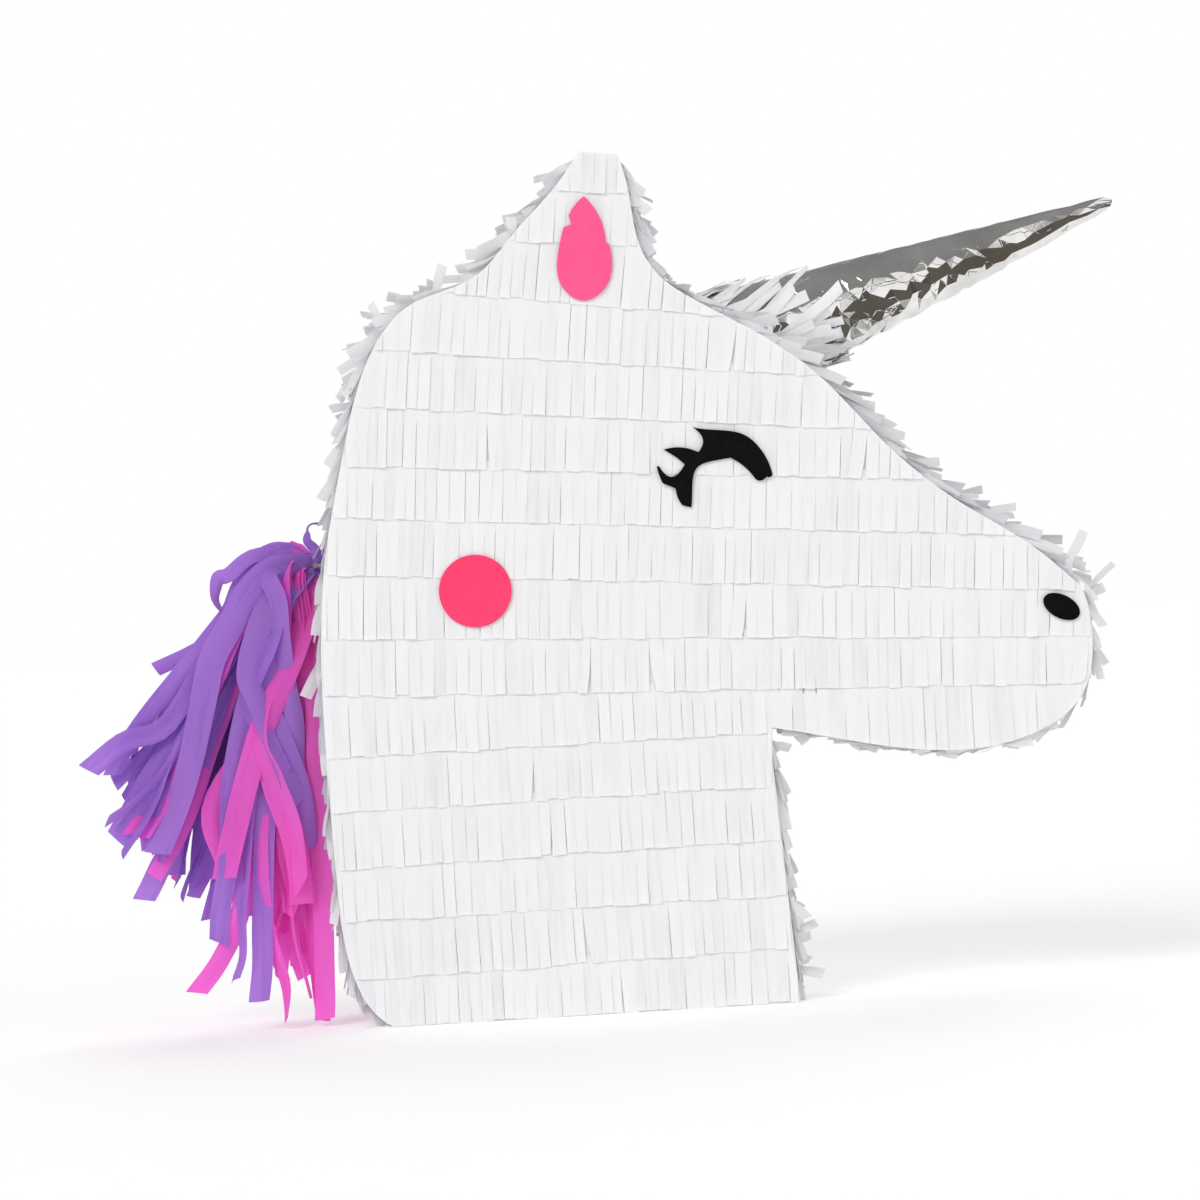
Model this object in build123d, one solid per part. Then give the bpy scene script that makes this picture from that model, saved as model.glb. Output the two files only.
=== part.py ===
from build123d import *
import os
from math import cos, radians, sin

# A flat-box unicorn head pinata, in millimetres.
# X runs from the nape to the muzzle, Z is up and the front face looks towards -Y.
# The origin is the middle of the underside of the neck, which the head stands on.

# Overall sizes: the card body without fringe, horn or mane
head_length = 404.0
head_height = 451.0
body_depth = 100.0

# The body was drawn at these sizes, and its drawn points stretch to the sizes above.
DRAWN_LENGTH = 404.0
DRAWN_HEIGHT = 451.0

# Card, tape and tissue
panel_board = 3.0
wall_card = 2.0
base_paper = 0.3
tape_thick = 0.3
tape_leg = 6.0
tissue = 0.3
row_lap = 6.0
row_joggle = 1.0
edge_fringe = 1.5
edge_pitch = 29.0
strip_gap = 0.3

# Filling door in the back panel
door_width = 104.0
door_height = 84.0
door_bottom = 112.0
door_gap = 0.4
door_skirt = 4.0
tab_width = 22.0
tab_length = 26.0
tab_thick = 0.4

# Horn: a card cone under foil, glued to the brow
horn_reach = 201.0
horn_slope = 17.6
horn_place = 0.815
horn_base_radius = 28.0
horn_tip_radius = 2.4
horn_card = 1.2
horn_foil_thick = 0.4
horn_fringe_gap = 0.6

# Hanging hole in the ear's top
hang_hole_radius = 3.0
eyelet_wall = 0.5
eyelet_flange = 6.0
eyelet_back_flange = 5.0
eyelet_sheet = 0.5
eyelet_fit = 0.05
hanger_thick = 2.0
hanger_length = 60.0
hanger_side_gap = 1.5

# Mane and the loop that it hangs from
mane_height = 243.8
mane_standoff = 5.6
loop_wire = 1.5
loop_leg = 1.3
loop_width = 28.0
loop_stop_radius = 4.0
loop_stop_thick = 1.5
loop_reach_in = 3.0
tie_radius = 5.0
tie_length = 16.0
tie_fit = 0.08
mane_top_depth = 20.0
mane_foot_depth = 52.0
mane_clear = 1.6
mane_rise = 11.0
mane_foot = 2.0

# Paper and sticker decorations
paper_thick = 0.4
sticker_thick = 0.3
cheek_radius = 19.0
nostril_long = 10.3
nostril_short = 6.1
nostril_turn = -30.5

half_depth = body_depth / 2
skin_face = half_depth + tape_thick

# Lengths used only in building: a size beyond the whole head, how far a cutting tool runs past what
# it cuts, half the width of a band along the outline, and the steps taken along a run
FAR = 700.0
cut_over = 1.0
band_reach = 7.0
band_step = 6.0
short_run = 60.0
outline_step = 5.0

# Runs of the body's outline, anticlockwise from the base's rear corner, each with the direction
# that it sets out in and arrives in where it is curved.
runs = {
    "base": ([(-106, 0), (106, 0)], None),
    "throat": ([(106, 0), (98, 145)], None),
    "jaw": (
        [(98, 145), (135, 136.5), (195, 126.8), (235, 132.5), (262, 150), (270.2, 182), (265.5, 208.5)],
        [(5, -1), (-5, 9)],
    ),
    "brow": (
        [(265.5, 208.5), (247, 226), (209.5, 252.5), (167.5, 289.5), (136, 326), (94.5, 357), (64, 376)],
        [(-8, 7), (-19, 14)],
    ),
    "ear_front": ([(64, 376), (47, 398), (42.5, 426), (37.5, 448.3)], [(-19, 14), (-4, 11)]),
    "ear_top": ([(37.5, 448.3), (18, 450.8)], None),
    "crest": (
        [(18, 450.8), (4, 433), (-20, 409), (-41, 388.5), (-74.5, 376.5), (-96, 354.5)],
        [(-13, -17), (-6, -10)],
    ),
    "nape": (
        [
            (-96, 354.5),
            (-116, 297),
            (-128, 244.5),
            (-133.3, 184),
            (-132, 80),
            (-126, 27),
            (-118, 10),
            (-106, 0),
        ],
        [(-6, -10), (11, -5)],
    ),
}

# Lower edges of the fringe rows from the base up: height above the origin, and rise per unit of X
seams = [
    (0.0, 0.0),
    (27.0, 0.016),
    (56.0, 0.0),
    (84.5, 0.008),
    (113.5, 0.0),
    (141.5, -0.004),
    (168.5, -0.043),
    (197.0, -0.058),
    (227.5, -0.082),
    (257.0, -0.086),
    (284.5, -0.084),
    (313.5, -0.105),
    (342.5, -0.12),
    (373.5, -0.15),
    (404.5, -0.108),
    (432.0, -0.1),
    (470.0, -0.1),
]
jaw_row = 5
jaw_floor = 122.5
jaw_step = 1.5
back_groups = {"neck": range(0, 4), "throat": range(4, 7), "face": range(7, 11), "crown": range(11, 16)}

# Side outlines of the mane's two bunches after the tie: distance behind the line that the mane
# hangs clear of, and height as a share of the way up from the mane's foot to the tie
pink_shape = [(0, 0.893), (0, 0.0), (20, 0.0), (49, 0.116), (42, 0.463), (17, 0.835)]
purple_shape = [
    (17.4, 0.833),
    (42.4, 0.461),
    (49.5, 0.118),
    (76, 0.124),
    (98, 0.289),
    (118, 0.554),
    (112, 0.649),
    (62, 0.876),
    (40, 1.021),
    (24, 1.045),
    (10, 1.033),
]

# Corners and curves of the decorations on the drawn body: each inner list is one smooth run.
ear_lining_runs = [
    [(19, 427.5), (26.5, 416), (29, 402)],
    [(29, 402), (30.5, 402)],
    [(30.5, 402), (31.5, 393), (28, 380), (15.5, 373), (4, 382.5), (3, 394.5), (7.5, 412)],
    [(7.5, 412), (11.5, 413)],
    [(11.5, 413), (10.5, 418)],
    [(10.5, 418), (14, 423), (19, 427.5)],
]
eye_runs = [
    [(68, 303.5), (84, 300.8), (95, 297.8), (103, 290), (108.5, 276)],
    [(108.5, 276), (107, 274.8), (105.3, 275.2)],
    [(105.3, 275.2), (101.5, 273.3), (99.3, 274.5)],
    [(99.3, 274.5), (94, 281.2), (87, 286.3)],
    [(87, 286.3), (77, 285), (69.5, 282.2), (66.3, 273), (65, 261.5)],
    [(65, 261.5), (60.5, 263)],
    [(60.5, 263), (58.3, 267), (57.5, 272)],
    [(57.5, 272), (51, 275)],
    [(51, 275), (49.3, 279.5), (48.3, 284)],
    [(48.3, 284), (49.5, 284.2)],
    [(49.5, 284.2), (55.5, 278.2), (63, 284.3)],
    [(63, 284.3), (59, 288), (52.3, 292.6)],
    [(52.3, 292.6), (61, 293.3), (70.5, 290.2)],
    [(70.5, 290.2), (73.3, 295.6), (68, 303.5)],
]
cheek_place = (-50.4, 224.9)
nostril_place = (255.1, 197.9)


def stretch(x, z):
    """Carry a drawn point to the body's present size, standing on its base paper."""
    return (x * head_length / DRAWN_LENGTH, z * head_height / DRAWN_HEIGHT + base_paper)


def run_edge(points, ends):
    """One run of an outline: straight between two points, else smooth through all of them."""
    placed = [stretch(x, z) for x, z in points]
    if len(placed) == 2:
        return Edge.make_line(placed[0], placed[1])
    vectors = [Vector(*p) for p in placed]
    if ends is None:
        return Edge.make_spline(vectors)
    return Edge.make_spline(vectors, tangents=[Vector(*e) for e in ends])


def drawn_face(smooth_runs):
    """A flat shape from runs that meet at corners."""
    return make_face([run_edge(points, None) for points in smooth_runs])


def outward(edge, share):
    """The direction out of the body, at a share of an outline run's length."""
    along = edge % share
    return Vector(along.Y, -along.X)


def corner_normal(before, after):
    """The mitre direction at a corner of the outline, long enough to keep offsets parallel."""
    first = outward(before, 1)
    second = outward(after, 0)
    return (first + second) / (1 + first.dot(second))


def slab(sketch, low_y, high_y):
    """Stand a drawn face up in XZ and give it depth from low_y to high_y."""
    return Pos(0, high_y, 0) * extrude(Plane.XZ * sketch, amount=high_y - low_y)


edges = {name: run_edge(points, ends) for name, (points, ends) in runs.items()}
names = list(edges)
outline = make_face(list(edges.values()))


def band(name, start=0.0, stop=1.0):
    """A strip of the plane along one outline run, to cut a ring into its separate pieces."""
    edge = edges[name]
    place = names.index(name)
    before = edges[names[place - 1]]
    after = edges[names[(place + 1) % len(names)]]
    step_length = band_step
    if edge.length < short_run or len(runs[name][0]) == 2:
        step_length = 3 * band_step
    count = max(1, round(edge.length * (stop - start) / step_length))
    inner = []
    outer = []
    for step in range(count + 1):
        share = start + (stop - start) * step / count
        normal = outward(edge, share)
        if share <= 0:
            normal = corner_normal(before, edge)
        if share >= 1:
            normal = corner_normal(edge, after)
        inner.append(edge @ share - normal * band_reach)
        outer.append(edge @ share + normal * band_reach)
    return make_face(Polyline(*outer, *reversed(inner), close=True))


def offset_run(name, amount):
    """One outline run moved outwards by an amount, meeting its neighbours at mitred corners."""
    edge = edges[name]
    place = names.index(name)
    before = edges[names[place - 1]]
    after = edges[names[(place + 1) % len(names)]]
    first = edge @ 0 + corner_normal(before, edge) * amount
    last = edge @ 1 + corner_normal(edge, after) * amount
    if len(runs[name][0]) == 2:
        return Edge.make_line(first, last)
    count = max(4, round(edge.length / outline_step))
    shares = [step / count for step in range(1, count)]
    middle = [edge @ share + outward(edge, share) * amount for share in shares]
    return Edge.make_spline([first, *middle, last], tangents=[edge % 0, edge % 1])


def grown(amount):
    """The outline's face, grown outwards or shrunk inwards."""
    return Sketch() + make_face([offset_run(name, amount) for name in names])


def above_base(solid):
    """Keep what stands above the base card's underside."""
    keep = Pos(0, 0, base_paper) * Box(2 * FAR, 2 * FAR, FAR, align=(Align.CENTER, Align.CENTER, Align.MIN))
    return Part() + (solid & keep)


def seam_z(number, x):
    """Height of one row's lower edge."""
    height, rise = seams[number]
    return height * head_height / DRAWN_HEIGHT + base_paper + rise * x


def throat_step():
    """Just in front of the throat's top, where the rows of the neck end and the jaw's row drops."""
    return (edges["throat"] @ 1).X + jaw_step


def between_seams(row, low_add, high_add):
    """The band of the face between two row edges, each raised by its own amount."""
    left = -head_length
    step_x = throat_step()
    right = step_x if row < jaw_row else head_length
    if row < jaw_row - 1:
        right = step_x + row_lap * 2
    if row == 0:
        low_add = -row_lap
    lower = [(left, seam_z(row, left) + low_add), (right, seam_z(row, right) + low_add)]
    if row == jaw_row:
        floor = jaw_floor * head_height / DRAWN_HEIGHT
        lower = [
            (left, seam_z(row, left) + low_add),
            (step_x, seam_z(row, step_x) + low_add),
            (step_x, floor),
            (right, floor),
        ]
    upper = [(right, seam_z(row + 1, right) + high_add), (left, seam_z(row + 1, left) + high_add)]
    return make_face(Polyline(*lower, *upper, close=True))


def fringe_row(row, allowed):
    """One glued strip of tissue: its tips lie over the head of the row below."""
    low_y = -skin_face - tissue
    solid = slab(between_seams(row, row_lap, row_lap), low_y, -skin_face)
    if row > 0:
        solid = solid + slab(tip_zone(row), low_y - tissue, low_y)
    return above_base(solid & slab(allowed, low_y - tissue, -skin_face))


def tip_zone(row):
    """The lower end of a row, where it lies on the row below."""
    left = -head_length
    right = throat_step() - row_joggle if row in (jaw_row - 1, jaw_row) else head_length
    points = [
        (left, seam_z(row, left)),
        (right, seam_z(row, right)),
        (right, seam_z(row, right) + row_lap + row_joggle),
        (left, seam_z(row, left) + row_lap + row_joggle),
    ]
    return make_face(Polyline(*points, close=True))


def rectangle(low_x, high_x, low_z, high_z):
    """A rectangle of the face."""
    corners = [(low_x, low_z), (high_x, low_z), (high_x, high_z), (low_x, high_z)]
    return make_face(Polyline(*corners, close=True))


def rear(solid):
    """The same piece on the back face."""
    return mirror(solid, about=Plane.XZ)


parts = {}

# Body panels and walls
hinge_z = door_bottom + door_height
door_left = -door_width / 2
door_right = door_width / 2
inside_depth = half_depth - panel_board
parts["front_panel"] = slab(outline, -half_depth, -inside_depth)
opening_face = rectangle(door_left, door_right, door_bottom, hinge_z + panel_board / 2 + door_gap)
parts["back_panel"] = slab(outline, inside_depth, half_depth) - slab(opening_face, 0, body_depth)

wall_ring = Sketch() + outline - grown(-wall_card)
for name in names:
    parts[name + "_wall"] = slab(wall_ring & band(name), -inside_depth, inside_depth)

tape_outer = grown(tape_thick)
tape_solid = slab(tape_outer, -skin_face, -half_depth + tape_leg)
tape_solid = tape_solid - slab(outline, -half_depth, 0)
tape_solid = tape_solid - slab(grown(-tape_leg), -body_depth, 0)
parts["front_seam_tape"] = above_base(tape_solid)
parts["back_seam_tape"] = rear(parts["front_seam_tape"])

base_edge = edges["base"]
base_half = base_edge.length / 2
parts["base_cover"] = Pos(0, 0, base_paper / 2) * Box(2 * base_half, body_depth, base_paper)

# Fringe rows of the front and the back
skin = tape_outer
for row in range(len(seams) - 1):
    parts[f"front_fringe_{row + 1:02d}"] = fringe_row(row, skin)

cut_left = door_left - door_gap
cut_right = door_right + door_gap
door_cut = rectangle(cut_left, cut_right, door_bottom - door_gap, hinge_z + door_skirt)
back_skin = skin - door_cut
for group, rows in back_groups.items():
    strips = [rear(fringe_row(row, back_skin)) for row in rows]
    parts["back_fringe_" + group] = Compound([solid for strip in strips for solid in strip.solids()])

# Filling door, hinged on its rounded top edge
door_body = slab(
    rectangle(door_left + door_gap, door_right - door_gap, door_bottom + door_gap, hinge_z),
    inside_depth,
    half_depth,
)
hinge_y = half_depth - panel_board / 2
door_roll = Pos(0, hinge_y, hinge_z) * Rot(0, 90, 0) * Cylinder(panel_board / 2, door_width - 2 * door_gap)
parts["fill_door"] = door_body + door_roll
door_field = rectangle(
    door_left + door_gap,
    door_right - door_gap,
    door_bottom + door_gap,
    hinge_z - door_skirt,
)
door_rows = []
for row in range(len(seams) - 1):
    row_low = seam_z(row, 0) + row_lap
    row_high = seam_z(row + 1, 0) + row_lap
    if row_high > door_bottom + row_lap and row_low < hinge_z - door_skirt:
        door_rows.append(row)
strips = [rear(fringe_row(row, door_field)) for row in door_rows]
parts["fill_door_fringe"] = Compound([solid for strip in strips for solid in strip.solids()])
tab_y = skin_face + 2 * tissue
tab_low = door_bottom - tab_length / 2
tab_face = rectangle(-tab_width / 2, tab_width / 2, tab_low, tab_low + tab_length)
parts["door_pull_tab"] = slab(tab_face, tab_y, tab_y + tab_thick)

# Horn
seat = edges["brow"] @ horn_place
horn_way = Vector(cos(radians(horn_slope)), 0, sin(radians(horn_slope)))
horn_seat = Vector(seat.X, 0, seat.Y)
horn_sunk = 60.0
horn_taper = (horn_base_radius - horn_tip_radius) / horn_reach
horn_plane = Plane(origin=horn_seat - horn_way * horn_sunk, x_dir=(0, 1, 0), z_dir=horn_way)


def horn_cone(extra, lift=0.0):
    """A solid cone along the horn's axis, wider than the card by extra, its tip raised by lift."""
    length = horn_sunk + horn_reach + lift
    foot = horn_base_radius + horn_taper * horn_sunk + extra
    tip = horn_tip_radius - horn_taper * lift + extra
    cone = Cone(foot, tip, length, align=(Align.CENTER, Align.CENTER, Align.MIN))
    return horn_plane * cone


head_block = slab(outline, -body_depth, body_depth)
parts["horn_core"] = horn_cone(0) - horn_cone(-horn_card) - head_block
parts["horn_foil"] = horn_cone(horn_foil_thick, horn_foil_thick) - horn_cone(0) - head_block
horn_room = horn_cone(horn_foil_thick + horn_fringe_gap, horn_fringe_gap)

# Loop for the mane, on the nape wall
nape = edges["nape"]
mane_z = mane_height * head_height / DRAWN_HEIGHT + base_paper
mane_share = min((abs((nape @ (i / 400)).Y - mane_z), i / 400) for i in range(401))[1]
nape_point = nape @ mane_share
loop_x = nape_point.X - tape_thick - edge_fringe - mane_standoff
loop_inner_x = nape_point.X + wall_card + loop_reach_in
leg_length = loop_inner_x - loop_x


def along_x(radius, low_x, length, y):
    """A rod along X at the mane loop's height."""
    turned = Rot(0, 90, 0) * Cylinder(radius, length, align=(Align.CENTER, Align.CENTER, Align.MIN))
    return Pos(low_x, y, mane_z) * turned


def along_y(radius, length):
    """A rod along Y on the mane's hinge axis."""
    return Pos(loop_x, 0, mane_z) * Rot(90, 0, 0) * Cylinder(radius, length)


loop = along_y(loop_wire, loop_width + 2 * loop_wire)
leg_room = Part()
for side in (-1, 1):
    leg_y = side * loop_width / 2
    loop = loop + along_x(loop_leg, loop_x, leg_length, leg_y)
    loop = loop + along_x(loop_stop_radius, loop_inner_x - loop_stop_thick, loop_stop_thick, leg_y)
    leg_room = leg_room + along_x(loop_leg + tie_fit, loop_x, leg_length, leg_y)
parts["mane_loop"] = loop
parts["nape_wall"] = parts["nape_wall"] - leg_room
parts["mane_tie"] = along_y(tie_radius, tie_length) - along_y(loop_wire + tie_fit, tie_length)

# Edge fringe: strips laid across the walls, one after another along each run
fringe_ring = grown(tape_thick + edge_fringe) - tape_outer
for name in ("throat", "jaw", "brow", "ear_front", "crest", "nape"):
    edge = edges[name]
    count = max(2, round(edge.length / edge_pitch))
    gap_share = strip_gap / edge.length
    strips = []
    for number in range(count):
        start = number / count + (gap_share if number else 0)
        piece = slab(fringe_ring & band(name, start, (number + 1) / count), -skin_face, skin_face)
        piece = above_base(piece)
        if name in ("brow", "ear_front"):
            piece = piece - horn_room
        if name == "nape":
            piece = piece - leg_room
        strips.extend(piece.solids())
    parts[name + "_edge_fringe"] = Compound(strips)

# Hanging hole in the ear's top
ear_mid = edges["ear_top"] @ 0.5
ear_up = outward(edges["ear_top"], 0.5)
hang_plane = Plane(origin=(ear_mid.X, 0, ear_mid.Y), x_dir=(0, 1, 0), z_dir=(ear_up.X, 0, ear_up.Y))
eyelet_radius = hang_hole_radius + eyelet_wall
stack = wall_card + hanger_thick


def hang_rod(radius, low, high):
    """A rod on the hanging hole's axis, by its heights above the ear's top."""
    rod = Cylinder(radius, high - low, align=(Align.CENTER, Align.CENTER, Align.MIN))
    return hang_plane * Pos(0, 0, low) * rod


hang_bore = hang_rod(eyelet_radius + eyelet_fit, -stack - cut_over, cut_over)
plate_width = edges["ear_top"].length - 2 * wall_card - 2 * hanger_side_gap
plate = Pos(0, 0, -wall_card - hanger_thick / 2) * Box(hanger_length, plate_width, hanger_thick)
parts["hanger_plate"] = hang_plane * plate - hang_bore
parts["ear_top_wall"] = parts["ear_top_wall"] - hang_bore
eyelet = hang_rod(eyelet_radius, -stack - eyelet_sheet, eyelet_sheet)
eyelet = eyelet + hang_rod(eyelet_flange, 0, eyelet_sheet)
eyelet = eyelet + hang_rod(eyelet_back_flange, -stack - eyelet_sheet, -stack)
parts["hanging_eyelet"] = eyelet - hang_rod(hang_hole_radius, -stack - cut_over, cut_over)

# Mane: two soft bunches that spread below the tie
deepest_x = min((nape @ (i / 40)).X for i in range(41)) - tape_thick - edge_fringe - mane_clear


def bunch_face(shape):
    """The side outline of a bunch of the mane, which starts at the tie."""
    drop = mane_z - mane_foot
    points = [(deepest_x - behind, mane_foot + share * drop) for behind, share in shape]
    return make_face(Polyline((loop_x, mane_z), *points, close=True))


taper = [
    (-mane_top_depth / 2, mane_z + mane_rise),
    (mane_top_depth / 2, mane_z + mane_rise),
    (mane_foot_depth / 2, 0),
    (-mane_foot_depth / 2, 0),
]
taper_face = make_face(Polyline(*taper, close=True))
taper_solid = Pos(-FAR, 0, 0) * extrude(Plane.YZ * taper_face, amount=2 * FAR)
tie_room = along_y(tie_radius, body_depth)
for name, shape in (("mane_pink", pink_shape), ("mane_purple", purple_shape)):
    bunch = slab(bunch_face(shape), -body_depth, body_depth) & taper_solid
    parts[name] = bunch - tie_room

# Decorations of the front, and the same pieces on the back
deco_y = -skin_face - 2 * tissue
ear_lining = drawn_face(ear_lining_runs)
eye = drawn_face(eye_runs)
cheek = Pos(*stretch(*cheek_place)) * Circle(cheek_radius)
nostril = Pos(*stretch(*nostril_place)) * Rot(0, 0, nostril_turn) * Ellipse(nostril_long, nostril_short)
decorations = {
    "ear_lining": (ear_lining, paper_thick),
    "cheek": (cheek, paper_thick),
    "eye": (eye, sticker_thick),
    "nostril": (nostril, sticker_thick),
}
for name, (face, thick) in decorations.items():
    solid = slab(face, deco_y - thick, deco_y)
    parts[name + "_front"] = solid
    parts[name + "_back"] = rear(solid)

os.makedirs("parts", exist_ok=True)
for name, part in parts.items():
    export_step(part, f"parts/{name}.step")
print(len(parts), "nodes")
print("hanging hole", hang_plane.origin, hang_plane.z_dir)
print("mane axis", round(loop_x, 3), round(mane_z, 3))
print("door hinge", round(hinge_y, 3), round(hinge_z, 3))
print("horn seat", horn_seat, "tip", horn_seat + horn_way * horn_reach)
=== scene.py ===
import math
import random

import bmesh
import bpy
import numpy as np
from mathutils import Matrix, Vector, geometry, noise


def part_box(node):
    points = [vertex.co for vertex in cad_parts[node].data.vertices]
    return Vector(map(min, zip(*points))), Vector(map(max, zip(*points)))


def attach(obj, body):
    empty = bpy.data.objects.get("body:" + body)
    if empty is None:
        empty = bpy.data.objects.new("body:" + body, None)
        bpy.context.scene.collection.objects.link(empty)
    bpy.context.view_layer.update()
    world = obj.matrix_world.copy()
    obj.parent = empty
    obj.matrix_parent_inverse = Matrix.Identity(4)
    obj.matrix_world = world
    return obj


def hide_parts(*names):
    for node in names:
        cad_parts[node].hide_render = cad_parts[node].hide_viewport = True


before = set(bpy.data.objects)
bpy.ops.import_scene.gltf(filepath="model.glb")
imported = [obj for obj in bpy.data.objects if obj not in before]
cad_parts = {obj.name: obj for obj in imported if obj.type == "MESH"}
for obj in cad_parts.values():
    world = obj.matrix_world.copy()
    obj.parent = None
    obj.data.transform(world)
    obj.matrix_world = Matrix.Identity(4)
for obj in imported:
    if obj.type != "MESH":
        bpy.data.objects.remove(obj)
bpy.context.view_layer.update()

MM = 0.001
MICRONS = 1e6  # in a metre

# Sizes of the tissue fringe, in metres
LEAF_WIDTH = 6.5 * MM
LEAF_LAP = 6.0 * MM
SKIN = abs(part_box("front_fringe_05")[1].y)  # face of the tape that the rows are glued on
HALF_DEPTH = abs(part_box("front_panel")[0].y)
LINER_DEPTH = 1.4 * MM  # how far in from the face the board still looks white
BASE_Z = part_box("base_wall")[0].z
EDGE_LENGTH = 27.0 * MM
EDGE_PITCH = 14.5 * MM
FLOOR_GAP = 0.6 * MM  # how far the lowest edge leaves stay above the floor

# Horn, as it stands on the brow
HORN_SLOPE = math.radians(17.6)
HORN_REACH = 201.0 * MM
CORE_TIP = 2.4  # radius of the card core at its tip, in millimetres
FOIL_TIP = 2.8
HORN_FLARE = 25.6  # how much wider it is a reach further down
HORN_LEAVES = 120

FULL_TURN = 2 * math.pi
UNROLLED = 16 * MM  # width given to a radian of the horn while its creases are laid out

# Mane
MANE_STRIPS = 86  # strips that fill the bunch behind the leading ones
tie_low, tie_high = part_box("mane_tie")
TIE = (tie_low + tie_high) / 2
nape_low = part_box("nape_edge_fringe")[0]


# ---------------------------------------------------------------- camera, light and floor

ROLL = math.radians(3.54)
VIEW_WIDTH = 0.628
VIEW_DISTANCE = 2.2


def make_camera():
    """A long lens level with the head, rolled so that the base tips down to the left."""
    data = bpy.data.cameras.new("view")
    data.sensor_width = 36.0
    data.lens = data.sensor_width * VIEW_DISTANCE / VIEW_WIDTH
    camera = bpy.data.objects.new("view", data)
    bpy.context.scene.collection.objects.link(camera)
    aim = Vector((0.0144, -SKIN, 0.2165))
    right = Vector((math.cos(ROLL), 0, -math.sin(ROLL)))
    up = Vector((math.sin(ROLL), 0, math.cos(ROLL)))
    back = right.cross(up)
    turn = Matrix((right, up, back)).transposed().to_4x4()
    camera.matrix_world = Matrix.Translation(aim + back * VIEW_DISTANCE) @ turn
    bpy.context.scene.camera = camera


def make_sun(name, place, power, softness, shown_in_foil=True):
    """Even light from one side, as from a large box far away."""
    data = bpy.data.lights.new(name, "SUN")
    data.energy = power
    data.angle = math.radians(softness)
    light = bpy.data.objects.new(name, data)
    light.rotation_euler = Vector(place).to_track_quat("Z", "Y").to_euler()
    light.visible_glossy = shown_in_foil
    bpy.context.scene.collection.objects.link(light)


# How bright the studio is by height, from straight down (-1) to straight up (1), before and behind
FRONT_PANELS = (
    (-1.0, 1.0),
    (-0.04, 0.13),
    (0.12, 0.13),
    (0.18, 1.7),
    (0.44, 1.7),
    (0.55, 0.43),
    (1.0, 0.48),
)
REAR_PANELS = ((-1.0, 1.0), (0.0, 1.0), (0.2, 1.3), (0.34, 0.46), (0.8, 0.42), (1.0, 0.48))


def world_ramp(nodes, links, value, stops):
    """Grey levels by a value that runs from -1 to 1."""
    scale = nodes.new("ShaderNodeMath")
    scale.operation = "MULTIPLY_ADD"
    scale.inputs[1].default_value = 0.5
    scale.inputs[2].default_value = 0.5
    links.new(value, scale.inputs[0])
    made = nodes.new("ShaderNodeValToRGB")
    elements = made.color_ramp.elements
    places = [(place / 2 + 0.5, (level, level * 0.99, level * 0.97, 1)) for place, level in stops]
    elements[0].position, elements[0].color = places[0]
    elements[1].position, elements[1].color = places[-1]
    for place, colour in places[1:-1]:
        elements.new(place).color = colour
    links.new(scale.outputs[0], made.inputs[0])
    return made.outputs["Color"]


def make_world():
    """A white studio for the eye, with grey and dark panels for the foil to reflect."""
    world = bpy.data.worlds.new("studio")
    bpy.context.scene.world = world
    world.use_nodes = True
    nodes, links = world.node_tree.nodes, world.node_tree.links
    nodes.clear()
    out = nodes.new("ShaderNodeOutputWorld")
    seen = nodes.new("ShaderNodeBackground")
    seen.inputs["Color"].default_value = (1, 1, 1, 1)
    seen.inputs["Strength"].default_value = 1.0
    lit = nodes.new("ShaderNodeBackground")
    lit.inputs["Strength"].default_value = 0.62
    coords = nodes.new("ShaderNodeTexCoord")
    split = nodes.new("ShaderNodeSeparateXYZ")
    links.new(coords.outputs["Generated"], split.inputs[0])
    front = world_ramp(nodes, links, split.outputs["Z"], FRONT_PANELS)
    rear = world_ramp(nodes, links, split.outputs["Z"], REAR_PANELS)
    facing = world_ramp(nodes, links, split.outputs["Y"], ((-0.35, 0.0), (0.1, 1.0)))
    blend = nodes.new("ShaderNodeMix")
    blend.data_type = "RGBA"
    links.new(facing, blend.inputs["Factor"])
    links.new(front, blend.inputs["A"])
    links.new(rear, blend.inputs["B"])
    links.new(blend.outputs["Result"], lit.inputs["Color"])
    path = nodes.new("ShaderNodeLightPath")
    mix = nodes.new("ShaderNodeMixShader")
    links.new(path.outputs["Is Camera Ray"], mix.inputs[0])
    links.new(lit.outputs[0], mix.inputs[1])
    links.new(seen.outputs[0], mix.inputs[2])
    links.new(mix.outputs[0], out.inputs["Surface"])


# ---------------------------------------------------------------- materials


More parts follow.
